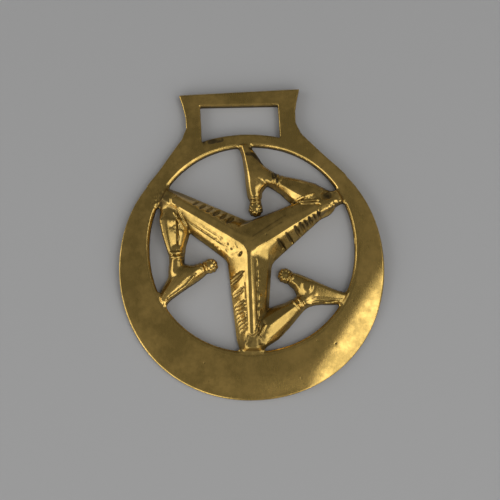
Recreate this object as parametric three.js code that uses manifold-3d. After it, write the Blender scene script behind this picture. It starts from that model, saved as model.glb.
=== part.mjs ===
// A cast horse brass: a flat ring with a strap loop, and in its window three armoured legs that meet at the hip.
// Millimetres, +Z up out of the face, +Y towards the strap loop. The brass lies on its flat back, and the origin
// is on that back, at the middle of the outline's length and width.

import * as THREE from "three";
import { mergeVertices } from "three/addons/utils/BufferGeometryUtils.js";
import Module from "manifold-3d";

const wasm = await Module();
wasm.setup();

// The plate: a ring that is widest at its foot, because its window sits high in it, and the strap loop on top.
const LENGTH = 89.6; // from the ring's foot to the top of the strap loop
const RING_RADIUS = 37.5;
const SQUARENESS = 2.08; // 2 is a true round; the ring and its window are filed a touch fuller at their corners
const RING_Y = RING_RADIUS - LENGTH / 2;
const PLATE = 2.4;
const RIM = 1.3; // thickness left at the ring's worn outer edge
const RIM_SLOPE = 7; // width of the slope down to that edge
const WINDOW = { x: 0.4, y: -1.6, halfWidth: 29.3, halfLength: 29.9 };
const EDGE = 0.4; // the small round along the window, the slot and the loop
const RING_STEPS = 108;

const LOOP_X = -0.8; // the loop stands a little to the left of the ring's centre
const LOOP_TOP = LENGTH / 2;
const LOOP_TOP_HALF = 17.7;
const LOOP_WAIST_HALF = 15.6; // the sides are drawn in towards this
const LOOP_WAIST_Y = 34.5;
const LOOP_FOOT_HALF = 17.4;
const LOOP_FOOT_Y = 31.2;
const SHOULDER_TURN = 42; // degrees up the ring where its shoulders leave it
const SLOT = { left: -12.5, right: 10.4, topLeft: 41.2, topRight: 40.4, foot: 30.2, rise: 1.5 };

// The legs. In a leg's own frame x runs from the hip along the thigh, and y towards the shin. Each was carved by
// hand, so each has its own heading (degrees from +X), its own length and taper of thigh, and its own places for
// ankle, heel, toe and rowel. The trailing half is the half width of the thigh's trailing flank, at hip and knee.
const HIP = new THREE.Vector2(-0.5, -1.4);
const LEGS = [
  { heading: -91, knee: 27.4, trailing: [6.3, 4.4], ankle: [17.3, 13.4], heel: [10.6, 12.8], toe: [16.1, 27.9],
    rowel: [8.8, 10] },
  { heading: 24.9, knee: 26.4, trailing: [7.5, 1.7], ankle: [16, 13], heel: [8.9, 12.7], toe: [12.8, 27.8],
    rowel: [6.9, 8.7] },
  { heading: 146.2, knee: 25.9, trailing: [6.4, 3.6], ankle: [16.2, 12.9], heel: [8.8, 13.4], toe: [13, 27.2],
    rowel: [6.5, 10.3] },
];
const HIP_HEIGHT = 6.2;
const KNEE_HEIGHT = 5.4;
const ANKLE_HEIGHT = 3.9;
const FOOT_HEIGHT = 4.1;
const TOE_HEIGHT = 2.6;
const WEB_REACH = 30.8; // each knee runs on to here, into the ring
const CREST_HALF = 0.95; // half the flat strip along the top of each thigh
const ROWEL = { radius: 1.95, height: 3.3, points: 9, flute: 0.78 };
const FRILL = { cuts: 8, first: 7, last: 0.82, slant: 1.8 }; // cuts across the trailing flank; last is a share of it

// Sections across a limb, from its right foot over the crest to its left foot. Each point is a share of the
// half width on its side, and a share of the height.
const SHIN_SECTION = [
  [-1, 0], [-1, 0.36], [-0.8, 0.7], [-0.34, 1], [-0.06, 0.97], [0.12, 0.74], [0.38, 0.88], [0.74, 0.72],
  [1, 0.36], [1, 0],
];
const ROUND_SECTION = [
  [-1, 0], [-1, 0.42], [-0.82, 0.72], [-0.45, 0.94], [0, 1], [0.45, 0.94], [0.82, 0.72], [1, 0.42], [1, 0],
];

// The thigh's flat crest keeps its width while the flanks narrow, so its section depends on the half width.
const thighSection = (half) => [
  [-1, 0], [-1, 0.2], [-0.86, 0.42], [-CREST_HALF / half, 1],
  [CREST_HALF / half, 1], [0.86, 0.42], [1, 0.2], [1, 0],
];

function solidOf(geometry) {
  const bare = geometry.clone();
  bare.deleteAttribute("normal");
  bare.deleteAttribute("uv");
  const merged = mergeVertices(bare, 1e-4);
  return new wasm.Manifold(
    new wasm.Mesh({
      numProp: 3,
      vertProperties: new Float32Array(merged.attributes.position.array),
      triVerts: new Uint32Array(merged.index.array),
    }),
  );
}

function geometryOf(solid) {
  const mesh = solid.getMesh();
  const geometry = new THREE.BufferGeometry();
  geometry.setAttribute("position", new THREE.BufferAttribute(mesh.vertProperties, 3));
  geometry.setIndex(new THREE.BufferAttribute(mesh.triVerts, 1));
  geometry.computeVertexNormals();
  return geometry;
}

const joined = (solids) => solids.reduce((whole, solid) => whole.add(solid));

// A point of a leg's own frame, from a pair of numbers.
const at = ([x, y]) => new THREE.Vector2(x, y);

// A limb: the same section at each station, joined by faces and closed at both ends. A station has its place,
// the half widths to the right and left of the way the limb runs, the height of its crest, and how far to the
// left of its place that crest stands.
function limb(stations, sectionOf) {
  const positions = [];
  const faces = [];
  const count = sectionOf(1).length;
  stations.forEach(({ place, right, left, height, crest = 0 }, i) => {
    const before = stations[Math.max(0, i - 1)].place;
    const after = stations[Math.min(stations.length - 1, i + 1)].place;
    const along = after.clone().sub(before).normalize();
    const across = new THREE.Vector2(-along.y, along.x);
    for (const [side, up] of sectionOf((left + right) / 2)) {
      const reach = crest + side * (side < 0 ? right + crest : left - crest);
      positions.push(place.x + across.x * reach, place.y + across.y * reach, up * height);
    }
  });
  for (let ring = 0; ring + 1 < stations.length; ring++) {
    for (let i = 0; i < count; i++) {
      const a = ring * count + i;
      const b = ring * count + ((i + 1) % count);
      faces.push([a, a + count, b], [b, a + count, b + count]);
    }
  }
  const outline = sectionOf(1).map(([side, up]) => new THREE.Vector2(side, up));
  const last = (stations.length - 1) * count;
  for (const [a, b, c] of THREE.ShapeUtils.triangulateShape(outline, [])) {
    faces.push([a, c, b], [last + a, last + b, last + c]);
  }
  const geometry = new THREE.BufferGeometry();
  geometry.setAttribute("position", new THREE.Float32BufferAttribute(positions, 3));
  geometry.setIndex(faces.flat());
  return solidOf(geometry);
}

// A low dome on the back plane, over an oval: a knee cap, or the rowel, whose every other side is drawn in.
function boss(place, radius, height, turn, sides, flute = 1) {
  const profile = [[0, 0], [1, 0], [1, 0.4], [0.84, 0.78], [0.5, 0.95], [0, 1]];
  const geometry = new THREE.LatheGeometry(profile.map((pair) => at(pair)), sides);
  const points = geometry.attributes.position;
  for (let i = 0; i < points.count; i++) {
    const column = Math.floor(i / profile.length) % sides;
    const reach = radius * (column % 2 ? flute : 1);
    points.setXYZ(i, points.getX(i) * reach, points.getY(i) * height, points.getZ(i) * reach);
  }
  geometry.rotateX(Math.PI / 2);
  geometry.rotateZ(turn);
  geometry.translate(place.x, place.y, 0);
  return solidOf(geometry);
}

// How far out the ring's outline lies at an angle, as a multiple of its half width.
const fullness = (angle) =>
  (Math.abs(Math.cos(angle)) ** SQUARENESS + Math.abs(Math.sin(angle)) ** SQUARENESS) ** (-1 / SQUARENESS);

// The plate's outlines.
function loopOutline() {
  const turn = THREE.MathUtils.degToRad(SHOULDER_TURN);
  const reach = RING_RADIUS * fullness(turn);
  const shoulder = new THREE.Vector2(reach * Math.cos(turn), RING_Y + reach * Math.sin(turn));
  const outline = new THREE.Shape();
  outline.moveTo(-shoulder.x, shoulder.y);
  for (const side of [-1, 1]) {
    const foot = [LOOP_X + side * LOOP_FOOT_HALF, LOOP_FOOT_Y];
    const waist = [LOOP_X + side * LOOP_WAIST_HALF, LOOP_WAIST_Y];
    const top = [LOOP_X + side * LOOP_TOP_HALF, LOOP_TOP];
    if (side < 0) {
      outline.lineTo(...foot);
      outline.quadraticCurveTo(...waist, ...top);
    } else {
      outline.lineTo(...top);
      outline.quadraticCurveTo(...waist, ...foot);
      outline.lineTo(shoulder.x, shoulder.y);
    }
  }
  return outline;
}

function slotOutline() {
  const outline = new THREE.Shape();
  outline.moveTo(SLOT.left, SLOT.foot);
  outline.lineTo(SLOT.left, SLOT.topLeft);
  outline.lineTo(SLOT.right, SLOT.topRight);
  outline.lineTo(SLOT.right, SLOT.foot);
  outline.quadraticCurveTo((SLOT.left + SLOT.right) / 2, SLOT.foot + 2 * SLOT.rise, SLOT.left, SLOT.foot);
  return outline;
}

function windowOutline() {
  return new THREE.Shape(Array.from({ length: RING_STEPS }, (_, i) => {
    const angle = (2 * Math.PI * i) / RING_STEPS;
    const [x, y] = [WINDOW.halfWidth * Math.cos(angle), WINDOW.halfLength * Math.sin(angle)];
    return new THREE.Vector2(WINDOW.x + fullness(angle) * x, WINDOW.y + fullness(angle) * y);
  }));
}

// The ring's disc. Its face is flat, and wear has sloped it down to the edge, less and less towards the shoulders.
function disc() {
  const worn = (angle) => THREE.MathUtils.smoothstep(-Math.sin(angle), -Math.sin(Math.PI / 4), 0.1);
  const rows = [
    ...[0, 0.35, 0.7, 1].map((share) => ({ radius: RING_RADIUS - EDGE - RIM_SLOPE * (1 - share), drop: share ** 2 })),
    { radius: RING_RADIUS, drop: 1, under: EDGE },
  ];
  const positions = [];
  for (let i = 0; i < RING_STEPS; i++) {
    const angle = (2 * Math.PI * i) / RING_STEPS;
    const put = (radius, z) => {
      const reach = radius * fullness(angle);
      positions.push(reach * Math.cos(angle), RING_Y + reach * Math.sin(angle), z);
    };
    for (const { radius, drop, under = 0 } of rows) {
      put(radius, PLATE - (PLATE - RIM) * worn(angle) * drop - under);
    }
    put(RING_RADIUS, EDGE);
    put(RING_RADIUS - EDGE, 0);
  }
  positions.push(0, RING_Y, PLATE, 0, RING_Y, 0);
  const count = rows.length + 2;
  const [topCentre, backCentre] = [RING_STEPS * count, RING_STEPS * count + 1];
  const faces = [];
  for (let i = 0; i < RING_STEPS; i++) {
    const here = i * count;
    const next = ((i + 1) % RING_STEPS) * count;
    faces.push([topCentre, here, next], [backCentre, next + count - 1, here + count - 1]);
    for (let row = 0; row + 1 < count; row++) {
      faces.push([here + row, here + row + 1, next + row], [next + row, here + row + 1, next + row + 1]);
    }
  }
  const geometry = new THREE.BufferGeometry();
  geometry.setAttribute("position", new THREE.Float32BufferAttribute(positions, 3));
  geometry.setIndex(faces.flat());
  return solidOf(geometry);
}

// A hole right through the plate, flared at the face by the small round of its edge.
function cutter(outline, curveSegments) {
  const straight = new THREE.ExtrudeGeometry(outline, { depth: PLATE + 2, bevelEnabled: false, curveSegments });
  const flare = new THREE.ExtrudeGeometry(outline, {
    depth: 2, bevelThickness: EDGE, bevelSize: EDGE, bevelSegments: 1, curveSegments,
  });
  straight.translate(0, 0, -1);
  flare.translate(0, 0, PLATE);
  return solidOf(straight).add(solidOf(flare));
}

function plate() {
  const loop = new THREE.ExtrudeGeometry(loopOutline(), {
    depth: PLATE - 2 * EDGE, bevelThickness: EDGE, bevelSize: EDGE, bevelOffset: -EDGE, bevelSegments: 1,
    curveSegments: 8,
  });
  loop.translate(0, 0, EDGE);
  return disc()
    .add(solidOf(loop))
    .subtract(cutter(windowOutline(), RING_STEPS))
    .subtract(cutter(slotOutline(), 8));
}

// A leg's limbs are laid out in the leg's own frame, and placed by its heading from the hip.
function placer(leg) {
  const turn = THREE.MathUtils.degToRad(leg.heading);
  return (x, y) => new THREE.Vector2(x, y).rotateAround(new THREE.Vector2(), turn).add(HIP);
}

// Half width of the thigh's trailing flank, at a distance from the hip.
const trailingHalf = (leg, x) => THREE.MathUtils.mapLinear(x, 3, leg.knee - 1, ...leg.trailing);

// The height of the thigh's crest, at a distance from the hip.
const crestHeight = (leg, x) => THREE.MathUtils.lerp(HIP_HEIGHT, KNEE_HEIGHT, (x / leg.knee) ** 2);

// The thigh, from the hip over the knee and down into the ring.
function thigh(leg, spot) {
  const rows = [[0, 6.6], [4, 6.5], [9, 5.9], [15, 5.3], [leg.knee - 6, 4.6], [leg.knee - 2, 3.9]];
  const stations = rows.map(([x, left]) => ({
    place: spot(x, 0), right: trailingHalf(leg, x), left, height: crestHeight(leg, x),
  }));
  stations.push(
    { place: spot(leg.knee + 1.6, 0), right: trailingHalf(leg, leg.knee) * 0.8, left: 3.4, height: KNEE_HEIGHT * 0.68 },
    { place: spot(WEB_REACH, 0), right: trailingHalf(leg, leg.knee) * 0.75, left: 2.2, height: PLATE * 0.98 },
  );
  return limb(stations, thighSection);
}

const between = (a, b, share) => [a[0] + (b[0] - a[0]) * share, a[1] + (b[1] - a[1]) * share];
const shinTop = (leg) => [leg.knee - 2, 1.6];

// The greave: a ridge along the shin, a groove, and the lower swell of the calf beside it. Past the ankle it runs
// on into the foot.
function shin(leg, spot) {
  const rows = [
    [0, 4.3, 4.5, KNEE_HEIGHT - 0.7],
    [0.27, 4.4, 4.4, KNEE_HEIGHT - 0.5],
    [0.57, 3.7, 3.8, KNEE_HEIGHT - 0.8],
    [0.8, 2.8, 2.6, ANKLE_HEIGHT + 0.3],
    [1, 2, 2, ANKLE_HEIGHT],
    [1.14, 2.2, 2.1, ANKLE_HEIGHT],
    [1.32, 2.6, 2.5, ANKLE_HEIGHT],
  ];
  const stations = rows.map(([share, right, left, height]) => ({
    place: spot(...between(shinTop(leg), leg.ankle, share)), right, left, height,
  }));
  return limb(stations, () => SHIN_SECTION);
}

// A short raised band across a limb at the given share of the way along it.
function band(spot, from, to, share, half, height, width = 0.6) {
  const length = at(from).distanceTo(at(to));
  const ends = [share - width / 2 / length, share + width / 2 / length];
  const stations = ends.map((end) => ({ place: spot(...between(from, to, end)), right: half, left: half, height }));
  return limb(stations, () => ROUND_SECTION);
}

// From heel to toe. The sole is on the left, and on the right the instep rises to meet the ankle.
function foot(leg, spot) {
  const rows = [
    [0, 1.9, 2.3, FOOT_HEIGHT * 0.86],
    [0.11, 3.9, 2.2, FOOT_HEIGHT * 0.96],
    [0.27, 6, 1.9, FOOT_HEIGHT],
    [0.39, 5.2, 1.6, FOOT_HEIGHT],
    [0.56, 4, 1.3, FOOT_HEIGHT * 0.92],
    [0.76, 3, 1, FOOT_HEIGHT * 0.8],
    [1, 1.2, 1.3, TOE_HEIGHT],
  ];
  const stations = rows.map(([share, right, left, height]) => ({
    place: spot(...between(leg.heel, leg.toe, share)), right, left, height, crest: (left - right) / 2,
  }));
  return limb(stations, () => ROUND_SECTION);
}

// The spur: a collar round the heel, a neck, and the rowel, a fluted knob.
function spur(leg, spot) {
  const neck = limb(
    [-0.3, 1].map((share) => ({
      place: spot(...between(leg.heel, leg.rowel, share)), right: 1.7, left: 1.7, height: ROWEL.height - 0.3,
    })),
    () => ROUND_SECTION,
  );
  const knob = boss(spot(...leg.rowel), ROWEL.radius, ROWEL.height, 0, 2 * ROWEL.points, ROWEL.flute);
  return joined([neck, band(spot, leg.heel, leg.rowel, 0.05, 2.1, FOOT_HEIGHT * 0.92, 0.8), knob]);
}

// The knee cap, and the fan of ribs on its wing between thigh and shin.
function knee(leg, spot) {
  const turn = THREE.MathUtils.degToRad(leg.heading);
  const cap = boss(spot(leg.knee - 1.2, 1.2), 4.1, KNEE_HEIGHT - 0.8, turn, 9);
  const root = [leg.knee - 8, 5];
  const ribs = [4, 2.6, 1.2].map((y, i) => {
    const tip = [leg.knee - 2.3, y];
    const stations = [root, tip].map((end) => ({ place: spot(...end), right: 0.4, left: 0.4, height: 4.9 + 0.1 * i }));
    return limb(stations, () => ROUND_SECTION);
  });
  return joined([cap, ...ribs]);
}

// One cut of the frill along the thigh: a bar of square section laid on edge down the trailing flank.
function frillCut(leg, spot, share) {
  const x = THREE.MathUtils.lerp(FRILL.first, leg.knee * FRILL.last, 1 - (1 - share) ** 1.5);
  const half = trailingHalf(leg, x);
  const height = crestHeight(leg, x);
  const width = THREE.MathUtils.lerp(0.75, 0.5, share);
  const high = spot(x, -THREE.MathUtils.lerp(CREST_HALF, half, 0.35));
  const low = spot(x + FRILL.slant, -half - 0.3);
  const from = new THREE.Vector3(high.x, high.y, height * 0.8);
  const to = new THREE.Vector3(low.x, low.y, height * 0.32);
  const bar = new THREE.CylinderGeometry(width, width, from.distanceTo(to), 4);
  bar.applyQuaternion(new THREE.Quaternion().setFromUnitVectors(
    new THREE.Vector3(0, 1, 0), to.clone().sub(from).normalize(),
  ));
  const middle = from.clone().add(to).multiplyScalar(0.5);
  bar.translate(middle.x, middle.y, middle.z);
  return solidOf(bar);
}

function legSolid(leg) {
  const spot = placer(leg);
  const cuffs = [0.91, 1.02].map((share) => band(spot, shinTop(leg), leg.ankle, share, 2.4, ANKLE_HEIGHT + 0.35));
  return joined([thigh(leg, spot), knee(leg, spot), shin(leg, spot), ...cuffs, foot(leg, spot), spur(leg, spot)]);
}

const frillCuts = LEGS.flatMap((leg) =>
  Array.from({ length: FRILL.cuts }, (_, i) => frillCut(leg, placer(leg), i / (FRILL.cuts - 1))));

const casting = frillCuts.reduce(
  (solid, cut) => solid.subtract(cut),
  joined([plate(), ...LEGS.map(legSolid)]),
);

const brass = new THREE.Mesh(
  geometryOf(casting),
  new THREE.MeshStandardMaterial({ color: 0xb08a3e, roughness: 0.32, metalness: 1 }),
);
brass.name = "horse_brass";

const group = new THREE.Group();
group.add(brass);

export default group;
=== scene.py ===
# %% [markdown]
# # A cast horse brass with three armoured legs
# A horse brass is a small ornament that hangs on a leather strap of the harness. Brass is poured into a sand
# mould, the flat back is left as it came, and the face is filed, chased with small chisels and polished.
# This lesson makes the whole casting as one fine skin: a height for every spot of a fine grid, a clean
# outline round it, and a flat back. A height map suits a casting from an open mould: nothing is undercut.

# %% Load the frame
import bmesh
import bpy
from math import cos, pi, radians, sin, tan

import numpy as np
from mathutils import Matrix, Vector
from mathutils.bvhtree import BVHTree


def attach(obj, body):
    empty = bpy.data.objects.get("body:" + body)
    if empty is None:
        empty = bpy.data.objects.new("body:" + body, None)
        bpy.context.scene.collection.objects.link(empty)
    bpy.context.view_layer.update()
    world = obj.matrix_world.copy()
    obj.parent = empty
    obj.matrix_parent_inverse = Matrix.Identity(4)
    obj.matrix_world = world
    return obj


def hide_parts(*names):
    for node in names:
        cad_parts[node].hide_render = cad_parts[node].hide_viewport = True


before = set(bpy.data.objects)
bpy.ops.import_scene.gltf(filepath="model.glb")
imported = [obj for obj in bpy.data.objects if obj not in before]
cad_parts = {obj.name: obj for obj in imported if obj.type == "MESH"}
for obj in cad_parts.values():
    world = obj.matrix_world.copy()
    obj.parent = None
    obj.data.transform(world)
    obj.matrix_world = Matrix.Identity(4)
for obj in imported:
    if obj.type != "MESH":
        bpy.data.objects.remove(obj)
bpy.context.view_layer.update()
MM = 0.001  # sizes below are in millimetres, and Blender's are in metres

# %% [markdown]
# ## The camera
# The brass lies on its back, and the viewer looks down at it, leaning a little over its foot. A camera is
# easiest to place by its own turns: lean it by its tilt, turn it round, and step away along its own axis.

# %% Camera
CAMERA_TILT = radians(11.5)
CAMERA_TURN = radians(-3.2)
CAMERA_DISTANCE = 0.265
VIEW_ANGLE = radians(30.25)
AIM = Vector((-0.0002, -0.0022, 0))

scene = bpy.context.scene
camera_data = bpy.data.cameras.new("camera")
camera_data.sensor_width = 36
camera_data.angle = VIEW_ANGLE
camera_data.clip_start, camera_data.clip_end = 0.01, 20
camera = bpy.data.objects.new("camera", camera_data)
scene.collection.objects.link(camera)
stance = Matrix.Rotation(CAMERA_TURN, 4, "Z") @ Matrix.Rotation(CAMERA_TILT, 4, "X")
camera.matrix_world = Matrix.Translation(AIM + stance @ Vector((0, 0, CAMERA_DISTANCE))) @ stance
scene.camera = camera
print("camera at", [round(v, 3) for v in camera.matrix_world.translation])

# %% [markdown]
# ## Sizes
# The founder's pattern sets the sizes of the plate, and each leg was carved by hand, so each has its own.
# In a leg's own frame x runs from the hip along the thigh, and y towards the shin.

# %% Sizes of the plate, in millimetres
LENGTH = 89.6
RING_RADIUS = 37.5
SQUARENESS = 2.08  # 2 is a true round
RING_Y = RING_RADIUS - LENGTH / 2
PLATE = 2.4
RIM = 1.25  # thickness left at the worn lower edge
RIM_SLOPE = 7.0
WINDOW = {"x": 0.4, "y": -1.6, "half_width": 29.3, "half_length": 29.9}
LOOP_X = -0.8
LOOP_TOP = LENGTH / 2
LOOP_SIDE = [(31.2, 17.4), (34.5, 16.0), (38.0, 16.1), (41.5, 16.8), (44.8, 17.7)]  # height up, half width
SHOULDER_TURN = radians(42)
SLOT = {"left": -12.5, "right": 10.4, "top_left": 41.2, "top_right": 40.4, "foot": 30.2, "rise": 1.5}
FLAT = {"way": radians(-37.7), "from": 32.0, "lean": radians(12.5), "blend": 0.6}  # rubbed on the lower right
STEP = 0.22  # the grid's step
print("plate", 2 * RING_RADIUS, "by", LENGTH, "mm, slot", SLOT["right"] - SLOT["left"], "mm wide")

# %% Sizes of the legs, in millimetres
HIP = (-0.5, -1.4)
LEGS = {
    "lower": dict(heading=-91, knee=27.4, crest_end=25.0, crest=(0.5, 0.5), lean=0.5, brow_step=0.9,
                  cap_slope=0.02, trailing=(6.3, 4.4), ankle=(17.3, 13.4), heel=(10.6, 12.8),
                  toe=(16.1, 27.9), rowel=(8.8, 10.0)),
    "right": dict(heading=24.9, knee=26.4, crest_end=22.0, crest=(2.2, 0.95), lean=0.34, brow_step=0.5,
                  cap_slope=0.12, trailing=(7.5, 1.7), ankle=(16.0, 13.0), heel=(8.9, 12.7),
                  toe=(12.8, 27.8), rowel=(6.9, 8.7)),
    "left": dict(heading=146.2, knee=25.9, crest_end=24.8, crest=(0.95, 0.95), lean=0.56, brow_step=0.6,
                 cap_slope=0.05, trailing=(6.4, 3.6), ankle=(16.2, 12.9), heel=(8.8, 13.4),
                 toe=(13.0, 27.2), rowel=(6.5, 10.3)),
}
HIP_HEIGHT, KNEE_HEIGHT, ANKLE_HEIGHT, FOOT_HEIGHT, TOE_HEIGHT = 6.2, 5.4, 3.9, 4.1, 3.1
CREST_HALF = 0.95
WEB_REACH = 30.8
ROWEL_RADIUS, ROWEL_PETALS = 1.95, 9
print("legs turned to", {name: leg["heading"] for name, leg in LEGS.items()}, "degrees")

# %% [markdown]
# ## Outlines and heights over a grid
# Every form is worked out for each spot of a fine grid at once, as two fields: how far inside its outline the
# spot lies, and how high the form stands there. Two forms are joined by taking the greater, with the corner
# between them filled a little, as metal fills it, and an edge is broken by taking the lesser in the same way.

# %% The grid and the ways to join forms
xs = np.arange(-RING_RADIUS - 1, RING_RADIUS + 1 + STEP, STEP)
ys = np.arange(-LENGTH / 2 - 1, LENGTH / 2 + 1 + STEP, STEP)
X, Y = np.meshgrid(xs, ys)


def lesser(a, b, soften):
    """The lesser of two fields, with the edge between them rounded."""
    return np.minimum(a, b) - np.maximum(soften - np.abs(a - b), 0) ** 2 / (4 * soften)


def greater(a, b, soften):
    """The greater of two fields, with the corner between them filled."""
    return -lesser(-a, -b, soften)


def ease(x, start, end):
    """0 before start, 1 after end, and a smooth rise between."""
    t = np.clip((x - start) / (end - start), 0, 1)
    return t * t * (3 - 2 * t)


def hump(x, middle, half):
    """A smooth bump of height 1 that reaches half each way."""
    return ease(-np.abs(x - middle), -half, 0)


def profile(points, soften):
    """A line through the points whose corners are eased over the given width."""
    points = np.array(points, float)
    fine = np.linspace(points[0, 0], points[-1, 0], 401)
    count = max(1, int(soften / (fine[1] - fine[0]))) | 1
    padded = np.pad(np.interp(fine, *points.T), count // 2, mode="edge")
    eased = np.convolve(padded, np.ones(count) / count, "valid")
    return lambda x: np.interp(x, fine, eased)


def true_distance(field):
    """Turns a field that is zero on an outline into millimetres from it, close to the outline."""
    dy, dx = np.gradient(field, STEP)
    return field / np.maximum(np.hypot(dx, dy), 0.3)


def blur(field, reach):
    """The mean over a small square of the grid, taken twice."""
    steps = max(1, round(reach / STEP))
    for axis in (0, 1, 0, 1):
        padded = np.pad(field, [(steps, steps) if i == axis else (0, 0) for i in (0, 1)], mode="edge")
        total = np.cumsum(padded, axis=axis)
        total = np.insert(total, 0, 0, axis=axis)
        wide = 2 * steps + 1
        high, low = np.arange(wide, total.shape[axis]), np.arange(total.shape[axis] - wide)
        field = (np.take(total, high, axis) - np.take(total, low, axis)) / wide
    return field


print("grid of", X.shape, "spots")

# %% [markdown]
# ## The plate
# The ring is turned on its pattern a touch squarer than a true round, and its window sits high in it, so it
# is widest at its foot. Harness wear has sloped the face down to the lower edge.

# %% The ring, its window and the strap loop


def fullness(angle):
    return (np.abs(np.cos(angle)) ** SQUARENESS + np.abs(np.sin(angle)) ** SQUARENESS) ** (-1 / SQUARENESS)


def oval(x, y, half_width, half_length):
    """Distance inside an oval of the ring's squareness."""
    u, v = (X - x) / half_width, (Y - y) / half_length
    reach = np.hypot(u, v) / fullness(np.arctan2(v, u))
    return true_distance((1 - reach) * min(half_width, half_length))


def loop_inside():
    """Distance inside the strap loop and its shoulders, without the slot."""
    reach = RING_RADIUS * fullness(SHOULDER_TURN)
    shoulder_x, shoulder_y = reach * cos(SHOULDER_TURN), RING_Y + reach * sin(SHOULDER_TURN)
    heights = [shoulder_y] + [h for h, _ in LOOP_SIDE]
    halves = [shoulder_x] + [w for _, w in LOOP_SIDE]
    middle = LOOP_X * ease(Y, shoulder_y, LOOP_SIDE[0][0])
    side = true_distance(np.interp(Y, heights, halves) - np.abs(X - middle))
    return np.minimum(np.minimum(side, LOOP_TOP - Y), Y - shoulder_y)


def slot_inside():
    """Distance inside the slot that the strap passes through."""
    share = (X - SLOT["left"]) / (SLOT["right"] - SLOT["left"])
    top = SLOT["top_left"] + (SLOT["top_right"] - SLOT["top_left"]) * share
    foot = SLOT["foot"] + SLOT["rise"] * 4 * share * (1 - share)
    return lesser(lesser(X - SLOT["left"], SLOT["right"] - X, 0.4), lesser(top - Y, Y - foot, 0.4), 0.4)


FLAT_SPARES = 0.6  # how much less the rim is worn round beside the flat
ring_in = oval(0, RING_Y, RING_RADIUS, RING_RADIUS)
window_in = oval(WINDOW["x"], WINDOW["y"], WINDOW["half_width"], WINDOW["half_length"])
plate_in = greater(ring_in, loop_inside(), 1.0)
plate_in = np.minimum(np.minimum(plate_in, -window_in), -slot_inside())
angle = np.arctan2(Y - RING_Y, X)
by_flat = ease(np.cos(angle - FLAT["way"]), 0.7, 0.95)
wear = ease(-np.sin(angle), 0, 0.5) * (1 - FLAT_SPARES * by_flat)
slope_share = np.clip(1 - ring_in / RIM_SLOPE, 0, 1.2)
plate_high = PLATE - (PLATE - RIM) * wear * slope_share ** 2
rubbed = X * cos(FLAT["way"]) + (Y - RING_Y) * sin(FLAT["way"]) - FLAT["from"]
plate_high = lesser(plate_high, PLATE - tan(FLAT["lean"]) * rubbed, FLAT["blend"])
plate_high = plate_high - 9 * ease(-plate_in, 0.3, 1.5)  # it falls away outside its outline
print("plate stands", round(float(plate_high.max()), 2), "mm high")

# %% [markdown]
# ## The legs
# Each leg is a thigh with a flat crest, a knee cap, a greave, a pointed foot and a spur. All but the thigh
# run along a straight line, with a section that widens and narrows, so one function makes them.

# %% A limb along a line
SKIRT = 0.3  # a form keeps its edge's height this far outside its own outline, so joins can be filled
FALL = 6.0  # and then falls this steeply


def leg_frame(leg):
    """The grid in a leg's own frame."""
    turn = radians(leg["heading"])
    dx, dy = X - HIP[0], Y - HIP[1]
    return dx * cos(turn) + dy * sin(turn), -dx * sin(turn) + dy * cos(turn)


def limb(x, y, start, end, rows, section, begins=(-2, -1)):
    """A limb from start to end. A row has a share of the way, the half widths to the right and left of the
    way, and the height there. The ends are rounded. The section comes in over the shares in begins, and is
    round again at the far end."""
    run = np.subtract(end, start)
    length = np.hypot(*run)
    ux, uy = run / length
    share = ((x - start[0]) * ux + (y - start[1]) * uy) / length
    across = -(x - start[0]) * uy + (y - start[1]) * ux
    shares, right, left, tall = np.array(rows, float).T
    half = np.where(across > 0, np.interp(share, shares, left), np.interp(share, shares, right))
    past = np.maximum(np.maximum(shares[0] - share, share - shares[-1]), 0) * length
    side = np.hypot(across, past) / half
    inside = (1 - side) * half
    across = np.clip(np.where(across < 0, -side, side), -1, 1)
    carved = ease(share, *begins) * ease(-share, -1.06, -0.98)
    shape = ROUND(across) + (section(across) - ROUND(across)) * carved
    return inside, np.interp(share, shares, tall) * shape - FALL * np.maximum(-inside - SKIRT, 0)


ROUND = profile([(-1, 0.35), (-0.86, 0.68), (-0.5, 0.93), (0, 1), (0.5, 0.93), (0.86, 0.68), (1, 0.35)], 0.2)
GREAVES = {  # sections of the shins, from the front of the shin round to the calf
    "lower": profile([(-1, 0.3), (-0.62, 0.72), (-0.08, 1.02), (0.04, 1.02), (0.5, 0.9), (0.8, 0.66),
                      (1, 0.3)], 0.08),
    "right": profile([(-1, 0.3), (-0.82, 0.66), (-0.5, 0.86), (0.2, 1.02), (0.34, 1.02), (0.76, 0.7),
                      (1, 0.3)], 0.08),
    "left": profile([(-1, 0.35), (-0.93, 0.9), (-0.6, 1), (-0.5, 1), (0.1, 0.86), (0.16, 0.77), (0.22, 0.77),
                     (0.3, 0.87), (0.56, 0.8), (0.64, 0.75), (0.85, 0.6), (1, 0.3)], 0.04),
}
FEET = {  # sections of the feet, from the instep round to the sole
    "lower": profile([(-1, 0.4), (-0.93, 0.82), (-0.86, 0.88), (-0.76, 0.83), (-0.5, 0.95), (-0.25, 0.99),
                      (0.1, 1), (0.5, 0.94), (0.8, 0.8), (1, 0.35)], 0.06),
    "right": profile([(-1, 0.35), (-0.88, 0.62), (-0.6, 0.8), (-0.2, 0.95), (0.2, 1), (0.6, 0.88),
                      (1, 0.35)], 0.15),
    "left": profile([(-1, 0.35), (-0.85, 0.6), (-0.5, 0.93), (-0.32, 1), (0, 0.95), (0.3, 0.86), (0.6, 0.78),
                     (0.85, 0.72), (1, 0.5)], 0.1),
}
print("lower shin's section:", [round(float(GREAVES["lower"](side)), 2) for side in (-1, -0.5, 0, 0.5, 1)])

# %% The parts of a leg
EDGE_HEIGHT = 1.2  # of the thighs' lower edges


def crest_fall(reach, knee):
    return HIP_HEIGHT + (KNEE_HEIGHT - HIP_HEIGHT) * np.clip(reach / knee, 0, 1.1) ** 2


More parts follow.
